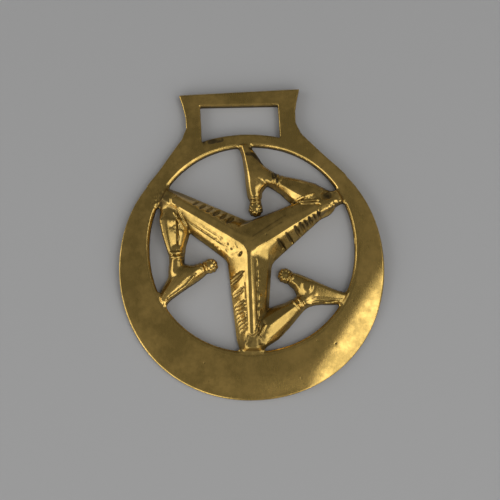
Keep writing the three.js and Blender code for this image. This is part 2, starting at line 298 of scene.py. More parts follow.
def thigh(leg, x, y):
    """A roof whose flanks fall in two slopes. On the trailing side the outer slope is the frill."""
    knee = leg["knee"]
    lead = np.interp(x, [0, 4, 9, 15, knee - 6, knee - 2, knee + 1.6, WEB_REACH],
                     [6.6, 6.5, 5.9, 5.3, 4.6, 3.9, 3.4, 2.2])
    at_hip, at_knee = leg["trailing"]
    trail = np.interp(x, [3, knee - 1, knee + 1.6, WEB_REACH],
                      [at_hip, at_knee, 0.85 * at_knee, 0.75 * at_knee])
    off = np.abs(y)
    half = np.where(y > 0, lead, trail)
    flat = np.where(y > 0, CREST_HALF, np.interp(x, [6, 20], leg["crest"]))
    frill_line = np.interp(x, [3, 12, knee - 4], [3.9, 2.5, 1.5])
    bend = np.clip(np.where(y > 0, 0.84 * lead, frill_line), flat + 0.3, half - 0.25)
    crest = crest_fall(x, knee)
    drop = np.where(y > 0, leg["lean"] * crest, 0.8 * (bend - flat))
    upper = crest - drop * (off - flat) / (bend - flat)
    outer = crest - drop - (crest - drop - EDGE_HEIGHT) * (off - bend) / (half - bend)
    inside = np.minimum(half - off, x + 1)
    return inside, lesser(upper, outer, 0.3)


def leg_forms(name, x, y):
    """The shin, ankle, foot and spur, joined: distance inside their outline, and height."""
    leg = LEGS[name]
    shin_top = (leg["knee"] - 2, 1.6)
    forms = [
        limb(x, y, shin_top, leg["ankle"], [
            (0, 4.1, 4.3, KNEE_HEIGHT - 1.4), (0.27, 4.4, 4.4, KNEE_HEIGHT - 0.5),
            (0.57, 3.7, 3.8, KNEE_HEIGHT - 0.8), (0.8, 2.9, 2.7, ANKLE_HEIGHT + 0.3),
            (1, 2.1, 2.1, ANKLE_HEIGHT)], GREAVES[name], (0.05, 0.25)),
        limb(x, y, shin_top, leg["ankle"], [
            (0.9, 2.3, 2.2, ANKLE_HEIGHT), (1, 2, 2, ANKLE_HEIGHT - 0.1), (1.14, 2.2, 2.1, ANKLE_HEIGHT),
            (1.32, 2.6, 2.5, ANKLE_HEIGHT - 0.2)], ROUND),
        limb(x, y, leg["heel"], leg["toe"], [
            (0, 1.9, 2.3, 3.6), (0.11, 3.9, 2.2, 3.9), (0.27, 6, 1.9, FOOT_HEIGHT),
            (0.39, 5.2, 1.6, FOOT_HEIGHT), (0.56, 4, 1.3, 3.9), (0.76, 3, 1, 3.6), (1, 1.3, 1.3, TOE_HEIGHT)],
            FEET[name], (0.1, 0.3)),
        limb(x, y, leg["heel"], leg["rowel"], [
            (-0.3, 1.9, 1.9, 3.4), (0.3, 1.6, 1.6, 3.0), (1, 1.7, 1.7, 2.6)], ROUND),
    ]
    from_rowel = np.hypot(x - leg["rowel"][0], y - leg["rowel"][1])
    petal = np.cos(ROWEL_PETALS * np.arctan2(y - leg["rowel"][1], x - leg["rowel"][0]))
    knob_in = ROWEL_RADIUS + 0.12 * petal - from_rowel
    forms.append((knob_in, 2.4 - 0.25 * from_rowel ** 2 - FALL * np.maximum(-knob_in - SKIRT, 0)))
    inside, top = forms[0]
    for more_in, more_top in forms[1:]:
        inside, top = greater(inside, more_in, 0.6), greater(top, more_top, 0.8)
    return inside, top


def cap_over(leg, x, y):
    """The height that the crest is planed down to: it steps down behind the knee's brow, a V, and slopes away
    over the knee cap into the ring."""
    brow = leg["crest_end"] + 0.6 - 0.7 * np.abs(y)
    past = np.maximum(x - brow, 0)
    into_ring = ease(-window_in, -1.1, 0.7)
    level = crest_fall(x, leg["knee"]) - leg["brow_step"] * ease(past, 0, 0.8) - leg["cap_slope"] * past
    return level - (level - PLATE + 0.9) * into_ring


print("heights at the crest:", [round(float(crest_fall(r, 27)), 2) for r in (0, 9, 18, 27)])

# %% Join the legs and the plate
HIP_FILL = 1.6  # how widely the corners between the thighs are filled
CREST_BEVEL = 0.38  # slope on the lower leg's crest
frames = {name: leg_frame(leg) for name, leg in LEGS.items()}
roof = roof_in = shins = shins_in = np.full(X.shape, -99.0)
cap, knee_near = crest_fall(np.hypot(X - HIP[0], Y - HIP[1]), 27), np.zeros(X.shape)
for name, leg in LEGS.items():
    x, y = frames[name]
    inside, flanks = thigh(leg, x, y)
    inside = np.minimum(inside, WEB_REACH - x)
    flanks = np.where(x > WEB_REACH + 0.5, -9, flanks - FALL * np.maximum(-inside - SKIRT, 0))
    roof, roof_in = greater(roof, flanks, HIP_FILL), greater(roof_in, inside, 1.2)
    near = (x > 8) & (np.abs(y) < 8)
    cap = np.where(near, np.minimum(cap, cap_over(leg, x, y)), cap)
    knee_near = np.maximum(knee_near, np.where(near, ease(x, leg["crest_end"], leg["crest_end"] + 2), 0))
    if name == "lower":
        bevel_end = ease(-x, -leg["crest_end"] - 0.8, -leg["crest_end"] + 0.2)
        cap = cap - CREST_BEVEL * np.clip(y - 0.4, 0, 1.4) * ease(x, 1, 4) * bevel_end
    low_in, low_top = leg_forms(name, x, y)
    low_top = low_top - 3 * ease(-window_in, 0, 1.2)  # the toes run out over the ring
    shins, shins_in = np.maximum(shins, low_top), np.maximum(shins_in, low_in)
height = greater(lesser(roof, cap, 0.25 + 0.6 * knee_near), shins, 0.5)
height = greater(height, plate_high, 0.6)
outline = greater(greater(roof_in, shins_in, 0.8), plate_in, 1.2)
outline = true_distance(outline)
print("the casting stands", round(float(height.max()), 2), "mm high")

# %% [markdown]
# ## Chased ornament
# The frills, ribs, cuffs and rowels were chased into the casting after it was poured. Each repeats one stroke
# of one tool, so each is grown by a tree of geometry nodes: a row of gouge cuts between two rails, a bead
# along a path, and petals round a ball. What a tree grows is then pressed into the heights, which keeps the
# casting one skin.

# %% Helpers for the paths and the node trees


def spot_in(leg, x, y):
    """A spot of a leg's own frame, on the plate's."""
    turn = radians(leg["heading"])
    return HIP[0] + x * cos(turn) - y * sin(turn), HIP[1] + x * sin(turn) + y * cos(turn)


def read_field(field, x, y):
    """A field's values at any spots, between the grid's own."""
    u, v = (np.asarray(x) - xs[0]) / STEP, (np.asarray(y) - ys[0]) / STEP
    j, i = np.clip(u.astype(int), 0, len(xs) - 2), np.clip(v.astype(int), 0, len(ys) - 2)
    u, v = u - j, v - i
    near = field[i, j] * (1 - u) + field[i, j + 1] * u
    far = field[i + 1, j] * (1 - u) + field[i + 1, j + 1] * u
    return near * (1 - v) + far * v


def laid(leg, points, lift, count=9):
    """A path through points of a leg's frame, laid on the casting's face and lifted a little."""
    points = np.array(points, float)
    shares = np.linspace(0, len(points) - 1, count)
    x = np.interp(shares, range(len(points)), points[:, 0])
    y = np.interp(shares, range(len(points)), points[:, 1])
    x, y = spot_in(leg, x, y)
    return np.stack([x, y, read_field(height, x, y) + lift], -1)


def rails(name, paths):
    """An object that holds the paths as straight-run curves."""
    curve = bpy.data.curves.new(name, "CURVE")
    curve.dimensions = "3D"
    for path in paths:
        run = curve.splines.new("POLY")
        run.points.add(len(path) - 1)
        for point, co in zip(run.points, path):
            point.co = (*co, 1)
    rail = bpy.data.objects.new(name, curve)
    scene.collection.objects.link(rail)
    return rail


def new_tree(name, inputs):
    """An empty tree with named inputs."""
    tree = bpy.data.node_groups.new(name, "GeometryNodeTree")
    tree.interface.new_socket("Geometry", in_out="OUTPUT", socket_type="NodeSocketGeometry")
    for label, kind in inputs.items():
        tree.interface.new_socket(label, in_out="INPUT", socket_type="NodeSocket" + kind)
    return tree, tree.nodes.new("NodeGroupInput").outputs


def put(tree, kind, inputs, out=0, **settings):
    """Adds a node, fills its inputs with values or links, and returns one of its outputs."""
    made = tree.nodes.new(kind)
    for label, value in settings.items():
        setattr(made, label, value)
    for socket, value in inputs.items():
        if isinstance(value, bpy.types.NodeSocket):
            tree.links.new(value, made.inputs[socket])
        else:
            made.inputs[socket].default_value = value
    return made.outputs[out]


def finish_tree(tree, geometry, material):
    """Ends a tree: real geometry, with its material."""
    real = put(tree, "GeometryNodeRealizeInstances", {0: geometry})
    real = put(tree, "GeometryNodeSetMaterial", {"Geometry": real, "Material": material})
    tree.links.new(real, tree.nodes.new("NodeGroupOutput").inputs[0])


def grow(tree, values):
    """What a tree grows with these inputs, as points and polygons in millimetres."""
    carrier = bpy.data.objects.new(tree.name, bpy.data.meshes.new(tree.name))
    scene.collection.objects.link(carrier)
    growth = carrier.modifiers.new("growth", "NODES")
    growth.node_group = tree
    sockets = {item.name: item.identifier for item in tree.interface.items_tree if item.in_out == "INPUT"}
    for label, value in values.items():
        growth[sockets[label]] = value
    grown = bpy.data.meshes.new_from_object(carrier.evaluated_get(bpy.context.evaluated_depsgraph_get()))
    points, polygons = [tuple(v.co) for v in grown.vertices], [tuple(p.vertices) for p in grown.polygons]
    carrier.modifiers.remove(growth)
    bpy.data.objects.remove(carrier)
    bpy.data.meshes.remove(grown)
    return points, polygons


def pressed(field, form, carve=False, soften=0.12):
    """The field with a form raised on it, or cut out of it."""
    tree = BVHTree.FromPolygons(*form)
    low, high = np.min(form[0], axis=0), np.max(form[0], axis=0)
    field = field.copy()
    start, way = (-20, Vector((0, 0, 1))) if carve else (20, Vector((0, 0, -1)))
    for i in range(*np.searchsorted(ys, (low[1], high[1]))):
        for j in range(*np.searchsorted(xs, (low[0], high[0]))):
            met = tree.ray_cast(Vector((xs[j], ys[i], start)), way)[0]
            if met is not None:
                field[i, j] = (lesser if carve else greater)(field[i, j], met.z, soften)
    return field


brass = bpy.data.materials.new("rubbed_brass")
print("helpers ready, and an empty material:", brass.name)

# %% [markdown]
# ## The trees
# A gouge leaves a cut like half a seed, so a cut is a stretched ball, and a row of them hangs between a rail
# of heads and a rail of tails: two short rails are easier to shift than every cut. A bead is a round section
# swept along a path and thinned at its ends. A rowel is a ring of petals round a ball.

# %% The three trees
VECTOR_MATH = "ShaderNodeVectorMath"
cuts_tree, given = new_tree("gouge_cuts", {"Heads": "Object", "Tails": "Object", "Count": "Int",
                                           "First width": "Float", "Last width": "Float", "Seed": "Int"})
number = put(cuts_tree, "GeometryNodeInputIndex", {})
last = put(cuts_tree, "ShaderNodeMath", {0: given["Count"], 1: 1.0}, operation="SUBTRACT")
share = put(cuts_tree, "ShaderNodeMath", {0: number, 1: last}, operation="DIVIDE")
ends = []
for label in ("Heads", "Tails"):
    rail = put(cuts_tree, "GeometryNodeObjectInfo", {"Object": given[label]}, "Geometry")
    ends.append(put(cuts_tree, "GeometryNodeSampleCurve", {"Curves": rail, "Factor": share}, "Position",
                    mode="FACTOR"))
middle = put(cuts_tree, VECTOR_MATH, {0: ends[0], 1: ends[1]}, operation="ADD")
middle = put(cuts_tree, VECTOR_MATH, {0: middle, "Scale": 0.5}, operation="SCALE")
span = put(cuts_tree, VECTOR_MATH, {0: ends[1], 1: ends[0]}, operation="SUBTRACT")
long = put(cuts_tree, VECTOR_MATH, {0: span}, "Value", operation="LENGTH")
turn = put(cuts_tree, "FunctionNodeAlignRotationToVector", {"Vector": span}, axis="Z")
wide = put(cuts_tree, "ShaderNodeMapRange", {"Value": share, "To Min": given["First width"],
                                             "To Max": given["Last width"]})
uneven = put(cuts_tree, "FunctionNodeRandomValue", {2: 0.8, 3: 1.2, "Seed": given["Seed"]}, 1)
wide = put(cuts_tree, "ShaderNodeMath", {0: wide, 1: uneven}, operation="MULTIPLY")
size = put(cuts_tree, "ShaderNodeCombineXYZ", {"X": wide, "Y": wide, "Z": long})
spots = put(cuts_tree, "GeometryNodePoints", {"Count": given["Count"], "Position": middle})
gouge = put(cuts_tree, "GeometryNodeMeshUVSphere", {"Segments": 12, "Rings": 10, "Radius": 0.5})
cuts = put(cuts_tree, "GeometryNodeInstanceOnPoints", {"Points": spots, "Instance": gouge, "Rotation": turn,
                                                       "Scale": size})
finish_tree(cuts_tree, cuts, brass)

bead_tree, given = new_tree("beads", {"Paths": "Object", "Radius": "Float", "Sides": "Int"})
paths = put(bead_tree, "GeometryNodeObjectInfo", {"Object": given["Paths"]}, "Geometry")
along = put(bead_tree, "GeometryNodeSplineParameter", {})
back_along = put(bead_tree, "ShaderNodeMath", {0: 1.0, 1: along}, operation="SUBTRACT")
taper = put(bead_tree, "ShaderNodeMath", {0: along, 1: back_along}, operation="MULTIPLY")
taper = put(bead_tree, "ShaderNodeMath", {0: taper, 1: 4.0}, operation="MULTIPLY")
taper = put(bead_tree, "ShaderNodeMath", {0: taper, 1: 0.4}, operation="POWER")
section = put(bead_tree, "GeometryNodeCurvePrimitiveCircle", {"Resolution": given["Sides"],
                                                              "Radius": given["Radius"]})
bead = put(bead_tree, "GeometryNodeCurveToMesh", {"Curve": paths, "Profile Curve": section, "Scale": taper,
                                                  "Fill Caps": True})
finish_tree(bead_tree, bead, brass)

rowel_tree, given = new_tree("rowels", {"Places": "Object", "Petals": "Int", "Reach": "Float",
                                        "Petal width": "Float", "Ball": "Float"})
ring = put(rowel_tree, "GeometryNodeMeshCircle", {"Vertices": given["Petals"], "Radius": given["Reach"]})
outward = put(rowel_tree, "GeometryNodeInputPosition", {})
turn = put(rowel_tree, "FunctionNodeAlignRotationToVector", {"Vector": outward}, axis="X")
petal = put(rowel_tree, "GeometryNodeMeshUVSphere", {"Segments": 12, "Rings": 8, "Radius": 0.5})
size = put(rowel_tree, "ShaderNodeCombineXYZ", {"X": given["Reach"], "Y": given["Petal width"],
                                                "Z": given["Petal width"]})
petals = put(rowel_tree, "GeometryNodeInstanceOnPoints", {"Points": ring, "Instance": petal, "Rotation": turn,
                                                          "Scale": size})
ball = put(rowel_tree, "GeometryNodeMeshIcoSphere", {"Radius": given["Ball"], "Subdivisions": 3})
knob = rowel_tree.nodes.new("GeometryNodeJoinGeometry")
for piece in (petals, ball):
    rowel_tree.links.new(piece, knob.inputs[0])
places = put(rowel_tree, "GeometryNodeObjectInfo", {"Object": given["Places"]}, "Geometry")
knobs = put(rowel_tree, "GeometryNodeInstanceOnPoints", {"Points": places, "Instance": knob.outputs[0]})
finish_tree(rowel_tree, knobs, brass)
print("trees:", [tree.name for tree in (cuts_tree, bead_tree, rowel_tree)])

# %% [markdown]
# ## The frills
# The armourer's frill hangs behind each thigh. The chaser struck it from the crest outwards, unevenly, so
# each row has its own ends and widths, and the tree makes the widths a little uneven with a fixed seed.

# %% Frill cuts
CUTS = {  # per leg and row: first head and tail, last head and tail, how many, first and last width
    "lower": [((7.6, -1.7), (10.2, -6.1), (12.0, -1.6), (13.9, -5.1), 2, 1.25, 1.0),
              ((8.7, -1.9), (11.2, -6.0), (13.0, -1.7), (14.7, -4.9), 2, 0.9, 0.8),
              ((15.9, -1.5), (17.3, -4.7), (23.6, -1.2), (24.8, -3.4), 8, 1.0, 0.85)],
    "right": [((7.8, -2.8), (8.8, -6.6), (13.6, -1.7), (14.6, -4.8), 3, 1.15, 1.05),
              ((15.4, -1.5), (16.3, -4.1), (21.4, -1.0), (22.1, -2.8), 5, 1.0, 0.8)],
    "left": [((8.4, -1.9), (8.0, -5.3), (19.4, -1.5), (19.0, -4.1), 6, 1.25, 1.0)],
}
for name, rows in CUTS.items():
    for first_head, first_tail, last_head, last_tail, count, first, last in rows:
        heads = rails("heads", [laid(LEGS[name], [first_head, last_head], 0.05)])
        tails = rails("tails", [laid(LEGS[name], [first_tail, last_tail], 0.05)])
        form = grow(cuts_tree, {"Heads": heads, "Tails": tails, "Count": count, "First width": first,
                                "Last width": last, "Seed": 4})
        height = pressed(height, form, carve=True)
        bpy.data.objects.remove(heads)
        bpy.data.objects.remove(tails)
print("cuts:", {name: sum(row[4] for row in rows) for name, rows in CUTS.items()})

# %% [markdown]
# ## Ribs, cuffs and rowels
# The raised lines are beads pressed into the heights: fans of ribs at the knees, two cuffs at each ankle, and
# two collars on each spur. A bead is laid a little into the face, so that it rises from it without a gap.

# %% Ribs, cuffs and collars
RIBS = {  # the fans at the knees: from, to
    "lower": [((22.6, 4.1), (26.3, 1.7)), ((20.5, 2.6), (25.5, 0.9))],
    "right": [((17.0, 5.2), (23.9, 4.2)), ((17.2, 4.9), (24.1, 1.6)), ((18.4, 3.6), (23.8, 0.7))],
    "left": [((18.0, 5.5), (23.4, 2.7)), ((17.3, 4.6), (23.5, 0.9))],
}
KNEE_EDGES = [((25.9, -1.2), (29.0, -2.2)), ((25.7, 1.2), (26.9, 2.9)), ((28.6, 1.6), (28.0, 4.2))]
CUFFS = {"lower": (0.93, 1.03), "right": (0.93, 1.02), "left": (0.95, 1.04)}  # shares of the shin
COLLARS = (0.35, 0.6)  # shares of the spur
EDGE_BEADS = {  # raised lines along the feet's edges
    "lower": [(17.3, 15.4), (17.5, 18.4), (17.2, 22.1), (16.8, 25.2)],
    "left": [(8.5, 14.4), (9.3, 18.9), (10.9, 22.6), (12.5, 26.0)],
}
RIB, EDGE_BEAD, CUFF, COLLAR, KNEE_BEAD = 0.42, 0.36, 0.45, 0.42, 0.3  # radii of the beads


def across(start, end, share, half, bow=0.0):
    """Three points straight across a limb at a share of its length."""
    start, end = np.array(start), np.array(end)
    way = (end - start) / np.hypot(*(end - start))
    middle, side = start + (end - start) * share, np.array([-way[1], way[0]])
    return [middle - side * half, middle + way * bow, middle + side * half]


def add_beads(field, paths, radius):
    holder = rails("paths", paths)
    form = grow(bead_tree, {"Paths": holder, "Radius": radius, "Sides": 10})
    bpy.data.objects.remove(holder)
    return pressed(field, form)


for name, leg in LEGS.items():
    knee_top = (leg["knee"] - 2, 1.6)
    height = add_beads(height, [laid(leg, rib, 0.12) for rib in RIBS[name]], RIB)
    if name in EDGE_BEADS:
        height = add_beads(height, [laid(leg, EDGE_BEADS[name], 0.1, 21)], EDGE_BEAD)
    height = add_beads(height, [laid(leg, across(knee_top, leg["ankle"], share, 2.3, 0.25), 0.05)
                                for share in CUFFS[name]], CUFF)
    height = add_beads(height, [laid(leg, across(leg["heel"], leg["rowel"], share, 2.1), 0.1)
                                for share in COLLARS], COLLAR)
height = add_beads(height, [laid(LEGS["lower"], edge, 0.06) for edge in KNEE_EDGES], KNEE_BEAD)
print("beads:", {name: len(RIBS[name]) + len(CUFFS[name]) + len(COLLARS) for name in LEGS})

# %% Rowels
PETAL_WIDTH, PETAL_REACH, BALL = 0.85, 1.25, 0.6
ROWEL_LEVEL = 2.2  # height of the petals' middles
rowel_spots = [(*spot_in(leg, *leg["rowel"]), ROWEL_LEVEL) for leg in LEGS.values()]
spots_mesh = bpy.data.meshes.new("rowel_spots")
spots_mesh.from_pydata(rowel_spots, [], [])
places_object = bpy.data.objects.new("rowel_spots", spots_mesh)
scene.collection.objects.link(places_object)
form = grow(rowel_tree, {"Places": places_object, "Petals": ROWEL_PETALS, "Reach": PETAL_REACH,
                         "Petal width": PETAL_WIDTH, "Ball": BALL})
bpy.data.objects.remove(places_object)
height = pressed(height, form)
print("rowels:", len(rowel_spots), "with", ROWEL_PETALS, "petals each")

# %% [markdown]
# ## Lines, flaws and casting skin
# A few fine lines are cut with a graver, by the same tree as the beads. Flaws of the casting are kept: rough
# skin where the sand was coarse, a sunk pit, dark cracks at a toe and an ankle. They make an old brass look
# cast. Each is a small patch or a line in a leg's frame, so it is easy to find, move or leave out. Painted
# shade is laid along the window's lower edge and into a chip at the slot.

# %% Graver lines
LINES = {  # leg, points, radius
    "valley beside the crest": ("lower", [(4.0, 2.0), (24.5, 1.85)], 0.45),
    "line beside the crest": ("lower", [(3, -1.6), (25, -1.45)], 0.22),
    "flank line": ("left", [(3.5, 3.9), (20, 3.0)], 0.26),
    "second flank line": ("left", [(6, 2.6), (17, 2.2)], 0.2),
}
for name, points, radius in LINES.values():
    holder = rails("paths", [laid(LEGS[name], points, 0.06, 25)])
    form = grow(bead_tree, {"Paths": holder, "Radius": radius, "Sides": 10})
    bpy.data.objects.remove(holder)
    height = pressed(height, form, carve=True)
print("graver lines:", list(LINES))

# %% Flaws
ROUGH_GRAIN = 0.3
chance = np.random.default_rng(11)
sand = blur(chance.standard_normal(X.shape), ROUGH_GRAIN)
sand /= sand.std()


def patch(name, x, y, long, wide):
    """1 at the middle of an oval patch in the frame of a leg or the plate, fading to 0 at its edge."""
    u, v = frames.get(name, (X, Y))
    return ease(1 - np.hypot((u - x) / long, (v - y) / wide), 0, 0.6)


# each patch: frame, middle, half sizes along and across, and how deep, tall or dark it is
ROUGH = [("lower", 28, 0, 4, 6.5, 0.025), ("left", 29, 1.5, 2.6, 5, 0.08), ("left", 5.5, 3.6, 6, 3, 0.09),
         ("lower", 14, 2.2, 13, 0.9, 0.08), ("right", 27.5, -1.5, 3, 3.5, 0.07),
         ("left", 20, 5.5, 3, 3, 0.07)]
for name, x, y, long, wide, deep in ROUGH:
    height = height + sand * deep * patch(name, x, y, long, wide)
DENTS = [("right", 26.5, 2.2, 2.4, 1.9, 0.8), ("left", 0.6, 3.6, 0.5, 0.9, 0.7),
         ("plate", -11.8, 30.6, 0.9, 1.6, 0.3)]
DENT_GRIME = 0.8
MOUNDS = [("lower", 12.6, 15.8, 2.4, 2.0, 0.45), ("right", 13.5, 12.6, 1.8, 1.5, 0.25)]
# dark marks: grime in dents, cracks and pits, darkened patches, and painted shade along the window's lower
# edge and in the chip at the slot
dark_marks_and_shade = np.zeros(X.shape)
for name, x, y, long, wide, deep in DENTS:
    height = height - deep * patch(name, x, y, long, wide)
    dark_marks_and_shade = np.maximum(dark_marks_and_shade, DENT_GRIME * patch(name, x, y, long, wide))
for name, x, y, long, wide, tall in MOUNDS:
    height = height + tall * patch(name, x, y, long, wide)
# darkened patches at the three knees, on the right foot and by the left heel
DARK_PATCHES = [("right", 14.2, 25.2, 1.0, 1.0, 0.9), ("lower", 27.2, 0.6, 2.8, 4.4, 0.4),
        ("left", 13.1, 13.2, 1.3, 1.3, 0.7), ("left", 27.4, 1.0, 1.7, 3.6, 0.6),
        ("right", 27.6, 3, 2.2, 2.6, 0.5)]
for name, x, y, long, wide, dark in DARK_PATCHES:
    dark_marks_and_shade = np.maximum(dark_marks_and_shade, dark * patch(name, x, y, long, wide))
CRACKS = [  # dark lines: start, end, half width, how dark
    ("right", (12.3, 23.9), (13.7, 23.3), 0.8, 1.2), ("right", (13.7, 23.3), (15.0, 19.8), 0.8, 1.2),
    ("right", (15.8, 15.3), (15.2, 13.7), 0.4, 0.9), ("right", (16.5, 15.1), (15.8, 12.2), 0.5, 1.0),
    ("right", (15.2, 14.1), (16.3, 13.0), 0.35, 0.9), ("right", (2.0, 1.2), (13.0, 2.4), 0.3, 0.6),
    # the last, on the plate, is the chip at the foot of the slot: a dark patch painted for the shade in the
    # chip
    ("right", (1.0, 0.1), (11.0, 0.9), 0.28, 0.5), ("plate", (-10.2, 29.9), (-6.7, 30.4), 0.9, 1.25)]
for name, start, end, half, dark in CRACKS:
    u, v = frames.get(name, (X, Y))
    run = np.subtract(end, start)
    share = np.clip(((u - start[0]) * run[0] + (v - start[1]) * run[1]) / (run @ run), 0, 1)
    off = np.hypot(u - start[0] - share * run[0], v - start[1] - share * run[1])
    dark_marks_and_shade = np.maximum(dark_marks_and_shade, dark * ease(1 - off / half, 0, 0.6))
# the fine groove round the lower half of the window is real; the dark laid along it is painted shade of the
# window's inner wall
rim_line = hump(-window_in, 0.9, 0.4) * ease(-Y, -4, 4)  # a fine line round the lower half of the window
RIM_LINE_DEEP, RIM_LINE_SHADE = 0.07, 0.3
height, dark_marks_and_shade = height - RIM_LINE_DEEP * rim_line, np.maximum(dark_marks_and_shade, RIM_LINE_SHADE * rim_line)
PITS = 46
pit_x, pit_y = chance.uniform(-34, 34, PITS), chance.uniform(-42, 30, PITS)
for x, y, wide, deep in zip(pit_x, pit_y, chance.uniform(0.2, 0.36, PITS), chance.uniform(0.04, 0.1, PITS)):
    pit = ease(1 - np.hypot(X - x, Y - y) / wide, 0, 0.8)
    height = height - deep * pit
    dark_marks_and_shade = np.maximum(dark_marks_and_shade, pit)
print("rough patches:", len(ROUGH), "dents:", len(DENTS), "cracks:", len(CRACKS), "pits:", PITS)

# %% [markdown]
# ## Edges and hollows
# The founder files the ring's inner edge and rubs every other edge round, and polish misses the hollows. So
# the edges are broken first, and the hollows are found as the spots that lie below the mean height round
# them.

# %% Round the edges
EDGE_ROUND = 0.35
LOWEST = 0.5  # the face never comes closer to the back than this
BEVEL_WIDE, BEVEL_SLOPE = 0.65, 0.7  # filed along the ring's inner edge
by_window = ease(window_in, -1.6, -0.9) * ease(-window_in, -0.3, 0.1)
height = height - BEVEL_SLOPE * np.maximum(BEVEL_WIDE - outline, 0) * by_window
short = np.clip(1 - outline / EDGE_ROUND, 0, 1)
height = np.maximum(height - EDGE_ROUND * (1 - np.sqrt(1 - short ** 2 * 0.98)), LOWEST)
print("bevel of", round(float((by_window > 0.5).mean() * X.size * STEP ** 2)), "mm2 round the window")

# %% Hollows
HOLLOW_REACH, HOLLOW_DEEP, HOLLOW_MOST = 0.9, 0.6, 0.45
solid = (outline > 0).astype(float)
around = blur(height * solid, HOLLOW_REACH) / np.maximum(blur(solid, HOLLOW_REACH), 0.01)
hollow = np.clip((around - height) / HOLLOW_DEEP, -1, HOLLOW_MOST) * ease(outline, 0.1, 1.2)
# the dark marks join the hollows here, among them painted shade along the window's lower edge and in the chip
# at the slot
hollow = np.maximum(hollow, dark_marks_and_shade)
print("hollows:", round(float((hollow[outline > 0] > 0.3).mean()), 3), "of the face")

# %% [markdown]
# ## From heights to a skin
# Each grid cell is cut into two triangles, and a triangle that the outline crosses is trimmed there, so the
# outline is smooth and not stepped. A remesh would do it too, but would soften the chased lines.

# %% The skin


def skin(heights, inside):
    """Vertices in millimetres, triangles and the loops of the outline, for the part of the grid inside."""
    rows, cols = heights.shape
    ids = np.arange(rows * cols).reshape(rows, cols)
    a, b, c, d = ids[:-1, :-1], ids[:-1, 1:], ids[1:, 1:], ids[1:, :-1]
    flip = ((np.arange(rows - 1)[:, None] + np.arange(cols - 1)[None, :]) % 2).astype(bool)[..., None]
    one = np.where(flip, np.stack([a, b, d], -1), np.stack([a, b, c], -1)).reshape(-1, 3)
    two = np.where(flip, np.stack([b, c, d], -1), np.stack([a, c, d], -1)).reshape(-1, 3)
    tris = np.concatenate([one, two])
    depth = inside.ravel()
    place = np.stack([X.ravel(), Y.ravel(), heights.ravel()], -1)
    within = depth > 0
    count = within[tris].sum(1)
    edges, points, extra, rim = {}, [], [], []

    def crossing(inner, outer):
        key = (int(inner), int(outer))
        if key not in edges:
            share = depth[inner] / (depth[inner] - depth[outer])
            spot = place[inner] + (place[outer] - place[inner]) * min(max(share, 0.08), 0.98)
            spot[2] = max(place[inner][2] - depth[inner], 0.6)
            edges[key] = rows * cols + len(points)
            points.append(spot)
        return edges[key]

    for tri in tris[(count == 1) | (count == 2)]:
        up = within[tri]
        turn = int(np.argmax(up)) if up.sum() == 1 else (int(np.argmin(up)) + 1) % 3
        p, q, r = tri[turn], tri[(turn + 1) % 3], tri[(turn + 2) % 3]
        if up.sum() == 1:
            s, t = crossing(p, q), crossing(p, r)
            extra.append((p, s, t))
        else:
            s, t = crossing(q, r), crossing(p, r)
            extra += [(p, q, s), (p, s, t)]
        rim.append((s, t))
    faces = np.concatenate([tris[count == 3], np.array(extra)])
    place = np.concatenate([place, np.array(points)])
    used, inverse = np.unique(faces, return_inverse=True)
    renumber = np.full(len(place), -1)
    renumber[used] = np.arange(len(used))
    return place[used], inverse.reshape(-1, 3), renumber[np.array(rim)]


place, faces, rim = skin(height, outline)
print(len(place), "vertices and", len(faces), "triangles on the face,", len(rim), "edges round the outline")

# %% [markdown]
# ## Walls and back
# The wall goes straight down from the outline to the back, and the back is one flat fill, as an open mould
# leaves it. The mesh has to be closed, so the edges that don't have two faces are counted.

# %% Walls and back
# painted shade: the foot of every wall is darkened like the shadow where the brass meets the floor, and the
# back shares it
WALL_FOOT_AND_BACK_SHADE = 0.45  # how dull the back and the foot of the walls are
SHARP_EDGE = 55  # degrees; a sharper edge is shaded as one


def close_back(place, faces, rim):
    """Carries the outline straight down to the back plane and fills the back."""
    mesh = bpy.data.meshes.new("brass_casting")
    mesh.from_pydata([tuple(p) for p in place], [], [tuple(f) for f in faces])
    bm = bmesh.new()
    bm.from_mesh(mesh)
    corners = list(bm.verts)
    foot = {int(s): bm.verts.new((place[s][0], place[s][1], 0)) for s in rim[:, 0]}
    for s, t in rim:
        bm.faces.new((corners[t], corners[s], foot[s], foot[t]))
    back_edges = [bm.edges.get((foot[s], foot[t])) for s, t in rim]
    bmesh.ops.triangle_fill(bm, use_beauty=True, use_dissolve=False, edges=back_edges)
    bmesh.ops.triangulate(bm, faces=[f for f in bm.faces if len(f.verts) > 3])
    bmesh.ops.recalc_face_normals(bm, faces=bm.faces)
    open_edges = sum(1 for e in bm.edges if len(e.link_faces) != 2)
    print("open or doubled edges:", open_edges, "| volume", round(bm.calc_volume()), "mm3")
    bm.to_mesh(mesh)
    bm.free()
    return mesh


casting_mesh = close_back(place, faces, rim)
spots = np.array([v.co for v in casting_mesh.vertices])
values = read_field(hollow, spots[:, 0], spots[:, 1])
# painted shade at the foot of the walls and over the back
values[spots[:, 2] < 0.01] = WALL_FOOT_AND_BACK_SHADE
casting_mesh.attributes.new("hollow", "FLOAT", "POINT").data.foreach_set("value", values)
casting_mesh.transform(Matrix.Scale(MM, 4))
casting_mesh.shade_smooth()
casting_mesh.set_sharp_from_angle(angle=radians(SHARP_EDGE))
casting = bpy.data.objects.new("brass_casting", casting_mesh)
scene.collection.objects.link(casting)
print(len(casting_mesh.polygons), "faces in all")

# %% [markdown]
# ## The brass
# Old polished brass is a metal whose colour lives in its reflections: yellow where it is rubbed bright, olive
# brown where it has dulled, and nearly black where grime sits in a hollow. Clouds, mottling, grain and fine
# scratches are noises on the piece's own coordinates, each of its own size. The hollows come with the mesh,
# and with them painted shade at the foot of the walls, along the window's lower edge and in a chip at the
# slot. Upright faces are darkened with painted shade too.

